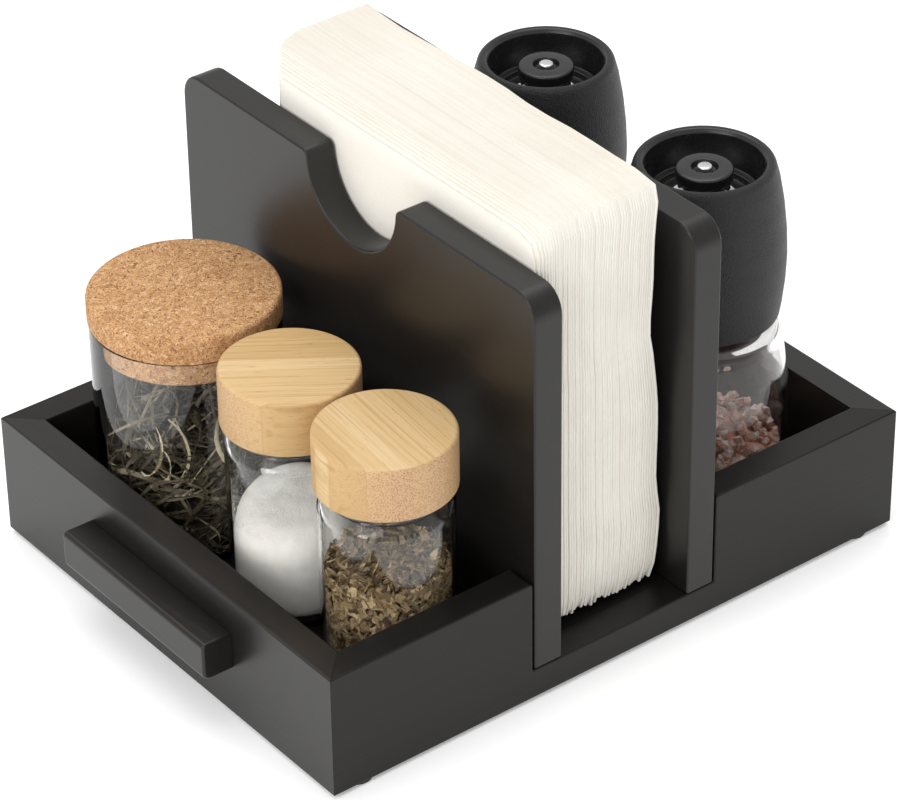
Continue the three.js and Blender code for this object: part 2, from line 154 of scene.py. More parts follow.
def ramp(tree, factor, stops):
    """A colour ramp; each stop is (position, colour)."""
    node = add(tree, "ShaderNodeValToRGB", {"Fac": factor})
    elements = node.color_ramp.elements
    for element, (position, colour) in zip(elements, stops):
        element.position = position
        element.color = (*colour, 1)
    for position, colour in stops[2:]:
        elements.new(position).color = (*colour, 1)
    return node.outputs["Color"]


def remap(tree, value, low, high, start=0.0, end=1.0):
    node = add(tree, "ShaderNodeMapRange",
               {"Value": value, "From Min": start, "From Max": end, "To Min": low, "To Max": high})
    return node.outputs["Result"]


def maths(tree, operation, *values):
    node = add(tree, "ShaderNodeMath", operation=operation)
    for index, value in enumerate(values):
        feed(tree, node, index, value)
    return node.outputs["Value"]


def mixed(tree, factor, first, second, blend="MIX"):
    node = add(tree, "ShaderNodeMix", data_type="RGBA", blend_type=blend)
    feed(tree, node, 0, factor)
    for index, colour in ((6, first), (7, second)):
        feed(tree, node, index, colour if isinstance(colour, bpy.types.NodeSocket) else (*colour, 1))
    return node.outputs[2]


def place(tree, scale=(1, 1, 1), turn=0.0, shift=(0, 0, 0)):
    """The point in the part's frame, in metres: turned about Z and shifted, then scaled."""
    coordinates = add(tree, "ShaderNodeTexCoord")
    turned = add(tree, "ShaderNodeMapping",
                 {"Vector": coordinates.outputs["Object"], "Rotation": (0, 0, turn), "Location": shift})
    scaled = add(tree, "ShaderNodeVectorMath", {0: turned.outputs["Vector"], 1: scale}, operation="MULTIPLY")
    return scaled.outputs[0]


def noisy(tree, where, scale=1.0, detail=4.0, rough=0.55, distortion=0.0):
    node = add(tree, "ShaderNodeTexNoise", {"Vector": where, "Scale": scale, "Detail": detail,
                                            "Roughness": rough, "Distortion": distortion})
    return node.outputs["Fac"]


def cells(tree, where, scale, feature="F1", output="Distance", randomness=1.0):
    node = add(tree, "ShaderNodeTexVoronoi", {"Vector": where, "Scale": scale, "Randomness": randomness},
               feature=feature)
    return node.outputs[output]


def bumped(tree, shader, height, strength, depth, under=None):
    """Drives the shader's normal by a height; depth is in metres. Returns the normal, to stack bumps."""
    inputs = {"Height": height, "Strength": strength, "Distance": depth}
    if under is not None:
        inputs["Normal"] = under
    node = add(tree, "ShaderNodeBump", inputs)
    tree.links.new(node.outputs["Normal"], shader.inputs["Normal"])
    return node.outputs["Normal"]


def speckled(name, dark, light, roughness, grain, metallic=0.0, bump=0.0002):
    """A plain moulded, cast or drawn finish: two close tones, uneven gloss and a fine grain."""
    made, tree, shader = material(name)
    where = place(tree)
    tone = noisy(tree, where, grain * 0.2, 3)
    fine = noisy(tree, where, grain, 5)
    feed(tree, shader, "Base Color", ramp(tree, tone, [(0.35, dark), (0.65, light)]))
    feed(tree, shader, "Roughness", remap(tree, fine, roughness - 0.06, roughness + 0.06, 0.3, 0.7))
    feed(tree, shader, "Metallic", metallic)
    bumped(tree, shader, fine, 0.35, bump)
    return made


# ======== materials

def black_paint(name, along, sheen):
    """Satin black paint that lets the grain of the wood show; along is the grain's axis, and sheen is how
    strongly it reflects, which differs between the copies as painted light and shade.
    """
    made, tree, shader = material(name)

    def stretched(across, lengthwise):
        scale = [across, across, across]
        scale[along] = lengthwise
        return place(tree, tuple(scale))

    grain = noisy(tree, stretched(700.0, 22.0), 1.0, 6, 0.62, 0.25)
    pores = noisy(tree, stretched(1500.0, 90.0), 1.0, 2)
    cloud = noisy(tree, place(tree), 9.0, 2)
    peel = noisy(tree, place(tree), 900.0, 2)
    base = ramp(tree, cloud, [(0.3, (0.0080, 0.0066, 0.0058)), (0.7, (0.0096, 0.0082, 0.0074))])
    streaks = remap(tree, grain, 0.0, 0.5, 0.42, 0.75)
    feed(tree, shader, "Base Color", mixed(tree, streaks, base, (0.0155, 0.0136, 0.0122)))
    gloss = maths(tree, "ADD", remap(tree, cloud, 0.325, 0.345, 0.3, 0.7),
                  remap(tree, grain, -0.015, 0.025, 0.3, 0.7))
    feed(tree, shader, "Roughness", gloss)
    feed(tree, shader, "Specular IOR Level", sheen)
    first = bumped(tree, shader, grain, 0.14, 0.0003)
    second = bumped(tree, shader, remap(tree, pores, 0.0, 1.0, 0.66, 0.74), 0.10, -0.0002, first)
    bumped(tree, shader, peel, 0.05, 0.0002, second)
    return made


def cork_look():
    """Agglomerated cork: small packed grains of close tans, dark dashes and pits."""
    made, tree, shader = material("cork")
    warp = add(tree, "ShaderNodeTexNoise", {"Vector": place(tree), "Scale": 1300.0, "Detail": 3.0})
    offset = add(tree, "ShaderNodeVectorMath", {0: warp.outputs["Color"], 1: (0.0017, 0.0017, 0.0017)},
                 operation="MULTIPLY")
    warped = add(tree, "ShaderNodeVectorMath", {0: place(tree), 1: offset.outputs[0]}, operation="ADD")
    where = warped.outputs[0]
    grain = add(tree, "ShaderNodeTexVoronoi", {"Vector": where, "Scale": 700.0}, feature="F1")
    shade = add(tree, "ShaderNodeSeparateColor", {"Color": grain.outputs["Color"]}).outputs["Red"]
    tans = ramp(tree, shade, [(0.0, (0.51, 0.265, 0.108)), (0.3, (0.630, 0.360, 0.165)),
                              (0.75, (0.700, 0.418, 0.200)), (1.0, (0.80, 0.52, 0.285))])
    fine = noisy(tree, place(tree), 1900.0, 5)
    tans = mixed(tree, remap(tree, fine, 0.0, 0.85, 0.47, 0.70), tans, (0.36, 0.165, 0.068))
    seam = cells(tree, where, 700.0, "DISTANCE_TO_EDGE")
    tans = mixed(tree, remap(tree, seam, 0.30, 0.0, 0.0, 0.10), tans, (0.26, 0.115, 0.05))
    dash = remap(tree, noisy(tree, place(tree, shift=(7, 2, 5)), 1050.0, 3, 0.6, 1.8), 0.0, 0.9, 0.54, 0.60)
    tans = mixed(tree, dash, tans, (0.165, 0.058, 0.021))
    pits = remap(tree, noisy(tree, place(tree, shift=(3, 1, 2)), 620.0, 3, 0.6), 0.0, 1.0, 0.665, 0.70)
    feed(tree, shader, "Base Color", mixed(tree, pits, tans, (0.11, 0.042, 0.018)))
    feed(tree, shader, "Roughness", 0.82)
    feed(tree, shader, "Specular IOR Level", 0.3)
    first = bumped(tree, shader, remap(tree, seam, 0.0, 1.0, 0.0, 0.12), 0.30, 0.0002)
    second = bumped(tree, shader, pits, 0.6, -0.0005, first)
    bumped(tree, shader, fine, 0.4, 0.0003, second)
    return made


STRIP_WIDTH = 0.0068  # metres


def grain_shown(tree, strip_turn):
    """How far each spot of the side wall shows the strips' end grain, and how far their long grain."""
    geometry = add(tree, "ShaderNodeNewGeometry")
    spin = add(tree, "ShaderNodeMapping",
               {"Vector": geometry.outputs["Normal"], "Rotation": (0, 0, strip_turn)})
    spun = add(tree, "ShaderNodeSeparateXYZ", {"Vector": spin.outputs[0]})
    facing = maths(tree, "ABSOLUTE", spun.outputs["X"])
    return remap(tree, facing, 0.0, 1.0, 0.35, 0.80), remap(tree, facing, 1.0, 0.15, 0.35, 0.80)


def cut_fibres(tree, strip_turn, seed, end_grain, tone):
    """The dots where the side wall cuts across the fibres, denser in some strips."""
    dots = cells(tree, place(tree, (1, 1, 1), strip_turn, (seed, 0, seed)), 1700.0)
    mask = maths(tree, "MULTIPLY", remap(tree, dots, 1.0, 0.0, 0.24, 0.44), end_grain)
    return maths(tree, "MULTIPLY", mask, remap(tree, tone, 0.55, 1.0))


def bamboo_look(name, strip_turn, seed):
    """Laminated bamboo: long strips side by side across the top, their end grain as dots round the side."""
    made, tree, shader = material(name)
    where = place(tree, turn=strip_turn, shift=(seed, seed, 0))
    axes = add(tree, "ShaderNodeSeparateXYZ", {"Vector": where})
    across = axes.outputs["Y"]
    strip = maths(tree, "MULTIPLY", across, 1 / STRIP_WIDTH)
    number = maths(tree, "FLOOR", strip)
    within = maths(tree, "FRACT", strip)
    tone = add(tree, "ShaderNodeTexWhiteNoise", {"W": number}, noise_dimensions="1D").outputs["Value"]
    base = ramp(tree, tone, [(0.0, (0.560, 0.362, 0.156)), (0.5, (0.640, 0.436, 0.205)),
                             (1.0, (0.700, 0.505, 0.268))])
    end_grain, long_grain = grain_shown(tree, strip_turn)
    fibre = noisy(tree, place(tree, (40, 1700, 1700), strip_turn, (seed * 7, seed * 40, 0)), 1.0, 4, 0.6, 0.2)
    streak = noisy(tree, place(tree, (14, 760, 420), strip_turn, (seed * 3, seed * 20, 0)), 1.0, 3, 0.5, 0.15)
    dash = noisy(tree, place(tree, (150, 1500, 1500), strip_turn, (seed, seed * 9, 0)), 1.0, 2)
    base = mixed(tree, remap(tree, fibre, 0.0, 0.50, 0.46, 0.72), base, (0.455, 0.270, 0.096))
    drawn = maths(tree, "MULTIPLY", remap(tree, streak, 0.0, 0.60, 0.53, 0.72), long_grain)
    base = mixed(tree, drawn, base, (0.400, 0.222, 0.074))
    nodes = maths(tree, "MULTIPLY", remap(tree, dash, 0.0, 0.55, 0.66, 0.74), long_grain)
    base = mixed(tree, nodes, base, (0.32, 0.165, 0.055))
    glue = maths(tree, "ABSOLUTE", maths(tree, "SUBTRACT", within, 0.5))
    base = mixed(tree, remap(tree, glue, 0.0, 0.45, 0.470, 0.5), base, (0.47, 0.275, 0.105))
    dot_mask = cut_fibres(tree, strip_turn, seed, end_grain, tone)
    blush = maths(tree, "MULTIPLY", end_grain, remap(tree, tone, 0.15, 0.70))
    base = mixed(tree, blush, base, (0.50, 0.285, 0.160))
    base = mixed(tree, dot_mask, base, (0.28, 0.125, 0.050))
    feed(tree, shader, "Base Color", base)
    feed(tree, shader, "Roughness", remap(tree, fibre, 0.42, 0.56, 0.3, 0.7))
    first = bumped(tree, shader, fibre, 0.10, 0.0002)
    bumped(tree, shader, dot_mask, 0.25, -0.0002, first)
    return made


def glass_look(name, tint, haze):
    """Clear glass, a trace uneven, with the odd smear; haze is how rough the smears are."""
    made, tree, shader = material(name)
    where = place(tree)
    bright = tuple(channel + 0.6 * (1 - channel) for channel in tint)
    feed(tree, shader, "Base Color", ramp(tree, noisy(tree, where, 30.0, 2), [(0.3, tint), (0.7, bright)]))
    feed(tree, shader, "Roughness", remap(tree, noisy(tree, where, 70.0, 4), haze * 0.3, haze, 0.35, 0.75))
    feed(tree, shader, "IOR", 1.46)
    feed(tree, shader, "Transmission Weight", 1.0)
    bumped(tree, shader, noisy(tree, where, 45.0, 1), 0.04, 0.0005)
    return made


def paper_look():
    """Soft two-ply tissue: faint fibre mottling and rows of small embossed dots on its broad faces."""
    made, tree, shader = material("napkin_paper")
    where = place(tree)
    cloud = noisy(tree, place(tree, (60, 14, 60)), 1.0, 4)
    base = ramp(tree, cloud, [(0.3, (0.845, 0.808, 0.730)), (0.7, (0.885, 0.862, 0.792))])
    streak = noisy(tree, place(tree, (420, 15, 24)), 1.0, 3)
    base = mixed(tree, remap(tree, streak, 0.0, 0.45, 0.5, 0.75), base, (0.80, 0.722, 0.635))
    single = add(tree, "ShaderNodeObjectInfo").outputs["Random"]
    base = mixed(tree, remap(tree, single, 0.0, 0.25, 0.35, 1.0), base, (0.82, 0.748, 0.665))
    feed(tree, shader, "Base Color", base)
    feed(tree, shader, "Roughness", 0.93)
    feed(tree, shader, "Specular IOR Level", 0.15)
    feed(tree, shader, "Sheen Weight", 0.25)
    feed(tree, shader, "Sheen Roughness", 0.6)
    flat = add(tree, "ShaderNodeVectorMath", {0: where, 1: (0.0, 1.0, 1.0)}, operation="MULTIPLY").outputs[0]
    dots = cells(tree, flat, 640.0, randomness=0.25)
    first = bumped(tree, shader, remap(tree, dots, 0.0, 1.0, 0.12, 0.5), 0.14, 0.0003)
    bumped(tree, shader, noisy(tree, where, 1100.0, 5), 0.22, 0.0003, first)
    return made


def islands(name, colours, roughness, grain, transmission=0.0):
    """One look for a heap of separate bits: every bit takes its own tone, then a finer mottling."""
    made, tree, shader = material(name)
    own = add(tree, "ShaderNodeNewGeometry").outputs["Random Per Island"]
    steps = [(index / (len(colours) - 1), colour) for index, colour in enumerate(colours)]
    base = ramp(tree, own, steps)
    fine = noisy(tree, place(tree), grain, 4)
    dark = mixed(tree, 1.0, base, (0.45, 0.42, 0.38), "MULTIPLY")
    feed(tree, shader, "Base Color", mixed(tree, remap(tree, fine, 0.60, 0.0, 0.35, 0.6), base, dark))
    feed(tree, shader, "Roughness", remap(tree, fine, roughness - 0.08, roughness + 0.08, 0.3, 0.7))
    feed(tree, shader, "Transmission Weight", transmission)
    bumped(tree, shader, fine, 0.3, 0.0003)
    return made


def salt_look():
    made, tree, shader = material("table_salt")
    where = place(tree)
    fine = cells(tree, where, 2300.0)
    lump = noisy(tree, where, 260.0, 5)
    base = ramp(tree, lump, [(0.3, (0.900, 0.860, 0.800)), (0.7, (0.960, 0.930, 0.880))])
    feed(tree, shader, "Base Color", base)
    feed(tree, shader, "Roughness", 0.75)
    feed(tree, shader, "Specular IOR Level", 0.4)
    first = bumped(tree, shader, lump, 0.35, 0.0008)
    bumped(tree, shader, fine, 0.40, 0.0003, first)
    return made


def mill_black_look():
    """Black moulding with a fine leather-like texture."""
    made, tree, shader = material("mill_black")
    where = place(tree)
    pebbles = cells(tree, where, 2100.0)
    cloud = noisy(tree, where, 40.0, 3)
    dark, light = (0.0100, 0.0098, 0.0104), (0.0138, 0.0134, 0.0140)
    feed(tree, shader, "Base Color", ramp(tree, cloud, [(0.3, dark), (0.7, light)]))
    feed(tree, shader, "Roughness", remap(tree, pebbles, 0.34, 0.50, 0.0, 0.6))
    feed(tree, shader, "Specular IOR Level", 0.38)
    bumped(tree, shader, pebbles, 0.80, 0.00035)
    return made


TEA_TONES = [
    (0.020, 0.015, 0.010), (0.088, 0.070, 0.041), (0.038, 0.029, 0.018),
    (0.225, 0.182, 0.105), (0.072, 0.058, 0.033), (0.72, 0.630, 0.440),
]
HERB_TONES = [
    (0.068, 0.040, 0.019), (0.235, 0.150, 0.068), (0.40, 0.285, 0.138),
    (0.100, 0.058, 0.032), (0.60, 0.450, 0.255), (0.230, 0.165, 0.064),
]
PINK_TONES = [
    (0.98, 0.87, 0.81), (0.92, 0.62, 0.50), (0.80, 0.37, 0.23),
    (1.0, 0.97, 0.95), (0.93, 0.60, 0.46), (0.74, 0.30, 0.17),
]
MILL_DARK = (0.010, 0.010, 0.011)
MILL_LIGHT = (0.014, 0.014, 0.015)


def make_looks():
    return {
        # one paint in two copies: their sheens differ as painted shade on the long boards and painted light
        # on the end boards, dividers and handles
        "paint_x": black_paint("painted_wood_x", 0, SHADED_SHEEN_ALONG),
        "paint_y": black_paint("painted_wood_y", 1, LIT_SHEEN_ACROSS),
        "rubber": speckled("foot_rubber", (0.018, 0.018, 0.018), (0.028, 0.027, 0.026), 0.8, 900),
        "zinc": speckled("zinc", (0.50, 0.50, 0.47), (0.66, 0.66, 0.63), 0.34, 700, 1.0),
        "beech": speckled("beech", (0.42, 0.27, 0.13), (0.58, 0.42, 0.25), 0.7, 600),
        "paper": paper_look(),
        "glass": glass_look("clear_glass", (0.985, 0.995, 0.99), 0.008),
        # the mills' glass: its grey tint is painted shade that darkens the glass and all seen through it; its
        # haze is a rougher surface
        "shaded_hazy_glass": glass_look("shaded_hazy_glass", (0.74, 0.72, 0.72), 0.06),
        "cork": cork_look(),
        "bamboo_salt": bamboo_look("bamboo_salt", math.radians(36), 0.31),
        "bamboo_herb": bamboo_look("bamboo_herb", math.radians(96), 0.12),
        "liner": speckled("lid_liner", (0.016, 0.016, 0.016), (0.026, 0.026, 0.026), 0.4, 500),
        "gasket": speckled("lid_gasket", (0.62, 0.62, 0.59), (0.75, 0.75, 0.72), 0.55, 300),
        "tea": islands("tea", TEA_TONES, 0.5, 900),
        # near-black look for the tea's inner mound: painted shade for the depth of the heap
        "tea_painted_shade": speckled("tea_painted_shade", (0.008, 0.006, 0.004), (0.030, 0.024, 0.014), 0.7, 900),
        "salt": salt_look(),
        "herbs": islands("herbs", HERB_TONES, 0.75, 1100),
        # near-black look for the herbs' inner mound: painted shade for the depth of the heap
        "herb_painted_shade": speckled("herb_painted_shade", (0.014, 0.010, 0.005), (0.045, 0.032, 0.016), 0.8, 900),
        "pink_salt": islands("pink_salt", PINK_TONES, 0.16, 500, 0.10),
        "mill_black": mill_black_look(),
        "gloss_black": speckled("mill_gloss_black", MILL_DARK, MILL_LIGHT, 0.24, 800, 0.0, 0.00004),
        "ceramic": speckled("ceramic", (0.78, 0.77, 0.73), (0.88, 0.87, 0.84), 0.3, 600),
        "steel": speckled("steel_pin", (0.66, 0.66, 0.65), (0.80, 0.80, 0.79), 0.28, 1200, 1.0),
    }


# ======== shape helpers

def rounded(points, steps=6, closed=True):
    """A line through points; a point with a third number is a corner rounded with that radius."""
    out = []
    count = len(points)
    for index, point in enumerate(points):
        here = Vector(point[:2])
        inner = closed or 0 < index < count - 1
        radius = point[2] if len(point) > 2 and inner else 0.0
        if not radius:
            out.append(tuple(here))
            continue
        to_before = (Vector(points[index - 1][:2]) - here).normalized()
        to_after = (Vector(points[(index + 1) % count][:2]) - here).normalized()
        half = to_before.angle(to_after) / 2
        reach = radius / math.tan(half)
        middle = here + (to_before + to_after).normalized() * (radius / math.sin(half))
        start = here + to_before * reach - middle
        end = here + to_after * reach - middle
        sweep = start.angle_signed(end)
        for step in range(steps + 1):
            arm = start.copy()
            arm.rotate(Matrix.Rotation(-sweep * step / steps, 2))
            out.append(tuple(middle + arm))
    return out


def glass_piece(name, profile, at, body, look, node, steps=8):
    """A clear turned wall; it throws no shadow, so that light reaches what it holds."""
    mesh = lathe("glass", profile, at, steps=steps)
    piece = finish_piece(name, mesh, body, look, [node], 60.0)
    piece.visible_shadow = False
    return piece


def finish_piece(name, mesh, body, look, nodes=(), sharp=38.0):
    """Names, shades, paints and places a piece whose mesh is in millimetres."""
    mesh.transform(Matrix.Scale(MM, 4))
    mesh.shade_smooth()
    mesh.set_sharp_from_angle(angle=math.radians(sharp))
    for paint in look if isinstance(look, (list, tuple)) else [look]:
        mesh.materials.append(paint)
    piece = bpy.data.objects.new(name, mesh)
    bpy.context.scene.collection.objects.link(piece)
    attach(piece, body)
    if nodes:
        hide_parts(*nodes)
    return piece


def to_mesh(name, shape):
    mesh = bpy.data.meshes.new(name)
    shape.normal_update()
    shape.to_mesh(mesh)
    shape.free()
    return mesh


def lathe(name, profile, at, base=REST, segments=JAR_SEGMENTS, steps=5, paint_of=None):
    """A profile of (radius, height, rounding) turned about the upright axis at a place."""
    line = rounded(profile, steps, closed=False)
    shape = bmesh.new()
    rings = []
    for radius, height in line:
        count = segments if radius > 1e-6 else 1
        rings.append([shape.verts.new((at[0] + radius * math.cos(FULL_TURN * i / segments),
                                       at[1] + radius * math.sin(FULL_TURN * i / segments),
                                       base + height)) for i in range(count)])
    for index, (low, high) in enumerate(zip(rings, rings[1:])):
        for i in range(segments):
            j = (i + 1) % segments
            corners = [low[i % len(low)], low[j % len(low)], high[j % len(high)], high[i % len(high)]]
            corners = list(dict.fromkeys(corners))
            if len(corners) < 3:
                continue
            face = shape.faces.new(corners)
            if paint_of:
                face.material_index = paint_of(*line[index], *line[index + 1])
    bmesh.ops.remove_doubles(shape, verts=shape.verts, dist=1e-5)
    bmesh.ops.recalc_face_normals(shape, faces=shape.faces)
    return to_mesh(name, shape)


def ring_lathe(name, profile, at, **options):
    return lathe(name, [*profile, profile[0][:2]], at, **options)


def loft(front, back):
    """A solid between two matching outlines of 3-D points."""
    shape = bmesh.new()
    first = [shape.verts.new(point) for point in front]
    second = [shape.verts.new(point) for point in back]
    count = len(first)
    shape.faces.new(first)
    shape.faces.new(list(reversed(second)))
    for i in range(count):
        j = (i + 1) % count
        shape.faces.new([first[j], first[i], second[i], second[j]])
    bmesh.ops.recalc_face_normals(shape, faces=shape.faces)
    return shape


def soften(shape, radius, keep_sharp=lambda edge: False, segments=3, least=30.0):
    """Rounds the edges of a solid that turn more than a small angle."""
    edges = [edge for edge in shape.edges
             if edge.calc_face_angle(0) > math.radians(least) and not keep_sharp(edge)]
    bmesh.ops.bevel(shape, geom=edges, offset=radius, segments=segments, profile=0.5, affect="EDGES",
                    clamp_overlap=True)


def board_piece(name, shape, look, nodes):
    piece = finish_piece(name, to_mesh(name, shape), "caddy", look, nodes, 75.0)
    modifier = piece.modifiers.new("even_faces", "WEIGHTED_NORMAL")
    modifier.keep_sharp = True
    return piece


def along_x(points, y):
    return [(x, y, z) for x, z in points]


def along_y(points, x):
    return [(x, y, z) for y, z in points]


# ======== the tray

HAIRLINE = 0.05  # paint film in each mitre
LIMITS = (HALF_L, HALF_W)


def mitre_edge(reach):
    """True for the edges of a mitred end, which stay sharp so that the corner closes."""
    def test(edge):
        start, end = (vertex.co for vertex in edge.verts)
        slanted = abs(abs(start[reach]) - abs(end[reach])) > STOCK / 2 - 1
        upright = abs(start[reach] - end[reach]) < 1e-4
        return (slanted or upright) and min(abs(start[reach]), abs(end[reach])) > LIMITS[reach] - STOCK - 1
    return test


def side_board(side, side_name, look):
    high = DIVIDER_OUT + 0.7

    def face(end_x, y):
        points = [(-end_x, TABLE_GAP), (end_x, TABLE_GAP), (end_x, BOARD_TOP), (high, BOARD_TOP, 1.6),
                  (high, SILL_TOP), (-high, SILL_TOP), (-high, BOARD_TOP, 1.6), (-end_x, BOARD_TOP)]
        return along_x(rounded(points), side * y)

    shape = loft(face(HALF_L - HAIRLINE, HALF_W), face(HALF_L - STOCK - HAIRLINE, HALF_W - STOCK))
    soften(shape, 0.7, mitre_edge(0))
    return board_piece(f"board_{side_name}_side", shape, look, [f"side_board_{side_name}"])


def end_board(end, end_name, look):
    def face(end_y, x):
        points = [(-end_y, TABLE_GAP), (end_y, TABLE_GAP), (end_y, BOARD_TOP), (-end_y, BOARD_TOP)]
        return along_y(points, end * x)

    shape = loft(face(HALF_W - HAIRLINE, HALF_L), face(HALF_W - STOCK - HAIRLINE, HALF_L - STOCK))
    soften(shape, 0.7, mitre_edge(1))
    return board_piece(f"board_{end_name}_end", shape, look, [f"end_board_{end_name}"])


def divider_outline():
    """The upright board: round top corners and a half-round finger notch with eased lips."""
    bottom = SILL_TOP + 0.15
    notch_r, lip = 25.0, 3.0
    notch = [(notch_r * math.cos(angle), DIVIDER_TOP - 1 + notch_r * math.sin(angle))
             for angle in (-0.09 - (math.pi - 0.18) * i / 32 for i in range(33))]
    top = DIVIDER_TOP
    left = [(-HALF_W, bottom), (HALF_W, bottom), (HALF_W, top, 9.5), (notch_r, top, lip)]
    right = [(-notch_r, top, lip), (-HALF_W, top, 9.5)]
    return rounded([*left, *notch, *right], 8)


def divider(end, end_name, look):
    points = divider_outline()
    shape = loft(along_y(points, end * SLOT_HALF), along_y(points, end * DIVIDER_OUT))
    soften(shape, 0.8, least=50.0)
    return board_piece(f"divider_board_{end_name}", shape, look, [f"divider_{end_name}"])


def handle(end, end_name, look):
    length, depth, height, up = 86.0, 12.0, 15.0, 20.3 + TABLE_GAP
    inner = HALF_L + 0.15
    section = rounded([(inner, up), (inner + depth, up, 2.6), (inner + depth, up + height, 1.8),
                       (inner, up + height)])
    first = [(end * x, -length / 2, z) for x, z in section]
    second = [(end * x, length / 2, z) for x, z in section]
    shape = loft(first, second)
    soften(shape, 1.0, lambda edge: all(abs(v.co.x) < inner + 0.1 for v in edge.verts), least=50.0)
    return board_piece(f"handle_bar_{end_name}", shape, look, [f"handle_{end_name}"])


def foot(end, end_name, side, side_name, look):
    at = (end * (HALF_L - 14), side * (HALF_W - STOCK / 2))
    profile = [(0, 0), (5.4, 0, 0.5), (5.5, 1.4), (0, 1.4)]
    mesh = lathe("pad", profile, at, 0.0, 40)
    name = f"foot_{side_name}_{end_name}"
    return finish_piece(f"pad_{side_name}_{end_name}", mesh, "caddy", look, [name])


def build_tray(looks):
    for side, side_name in SIDES:
        side_board(side, side_name, looks["paint_x"])
    for end, end_name in ENDS:
        end_board(end, end_name, looks["paint_y"])
        divider(end, end_name, looks["paint_y"])
        handle(end, end_name, looks["paint_y"])
        for side, side_name in SIDES:
            foot(end, end_name, side, side_name, looks["rubber"])


# ======== the napkins

NAPKIN_COUNT = 48
STACK_LEFT, STACK_RIGHT = -27.9, 23.6
STACK_NEAR, STACK_FAR = -86.5, 75.5
STACK_TOP = 178.7
LAYER = 0.262  # from one layer of a folded napkin to the next
TOP_EASE = (13.0, 7.0)  # from the left side: how far the rounding reaches, and how far it drops
NEAR_EASE = (6.0, 4.0)
FAN_REACH, FAN_DEPTH, FAN_POWER = 26.0, 19.0, 2.6  # the far end's stepping back towards the left
NOSE_POWER = 0.35  # below 1 the folded nose is blunter than a half circle
NOSE_FLARE = 0.355  # how much thicker a napkin grows at its folded nose
# How far the free side of the stack leans out, in millimetres, at each share of its height.
SWAY = ((0.0, 0.4), (0.09, 2.2), (0.18, 3.0), (0.27, 1.3), (0.46, 1.1), (0.56, 0.0),
        (0.66, -2.1), (0.81, -1.6), (1.0, 0.0))


def sway(share):
    """A smooth line through the leans."""
    for (low, first), (high, second) in zip(SWAY, SWAY[1:]):
        if share <= high:
            t = max(0.0, (share - low) / (high - low))
            t = t * t * (3 - 2 * t)
            return first + (second - first) * t
    return SWAY[-1][1]


def fold_path(near, far, steps):
    """The middle line of a folded half seen from above: out, round and back.

    Each point is (x, y, normal x, normal y)."""
    spread = LAYER
    out = []
    for i in range(steps + 1):
        out.append((spread, far + (near + spread - far) * i / steps, 1.0, 0.0))
    for i in range(1, 5):
        angle = -math.pi * i / 5
        across, along = math.cos(angle), math.sin(angle)
        blunt = math.copysign(abs(across) ** NOSE_POWER, across)
        out.append((spread * blunt, near + spread + spread * along, across, along))
    for i in range(steps + 1):
        out.append((-spread, near + spread + (far - near - spread) * i / steps, -1.0, 0.0))
    return out


def fold_section(bottom, top, steps):
    """Up one layer, over the top fold and down the other, as (offset, height)."""
    half = LAYER / 2
    out = [(half, bottom + (top - half - bottom) * i / steps) for i in range(steps + 1)]
    for i in range(1, 4):
        angle = math.pi * i / 4
        out.append((half * math.cos(angle), top - half + half * math.sin(angle)))
    out += [(-half, top - half + (bottom - top + half) * i / steps) for i in range(steps + 1)]
    return out


def settle(x, y, z, share, dice):
    """Where a point of the neat stack ends up: swayed, rounded at its corner, ragged at its foot."""
    height = (z - REST) / (STACK_TOP - REST)
    along = (y - STACK_NEAR) / (STACK_FAR - STACK_NEAR)
    free = 0.12 + 0.88 * share ** 1.3
    lean = sway(height) * (1 - 0.55 * along) * free
    ripple = noise.noise(Vector((y * 0.035, z * 0.03, share * 2.2 + 5))) * 1.1 * free
    edge = 0.9 * math.sin(y * 0.085 + 0.7) * height ** 4 * along * free
    x += lean + ripple + edge
    corner = 7.0
    from_near, from_top = y - dice["near"], dice["top"] - z
    if from_near < corner and from_top < corner:
        reach = math.hypot(corner - from_near, corner - from_top)
        if reach > corner:
            squeeze = corner / reach
            y = dice["near"] + corner - (corner - from_near) * squeeze
            z = dice["top"] - corner + (corner - from_top) * squeeze
    foot_zone = max(0.0, 1 - (z - REST) / 9.0)
    y += foot_zone * foot_zone * dice["heel"] * max(0.0, 1 - from_near / 25)
    z += foot_zone * dice["lift"] * max(0.0, 1 - from_near / 40)
    return x, y, z


def ease(distance, reach, drop):
    """How far a rounded edge has fallen this far from its side: all of drop at 0, none past reach."""
    if distance >= reach:
        return 0.0
    short = 1 - distance / reach
    return drop * (1 - math.sqrt(1 - short * short))


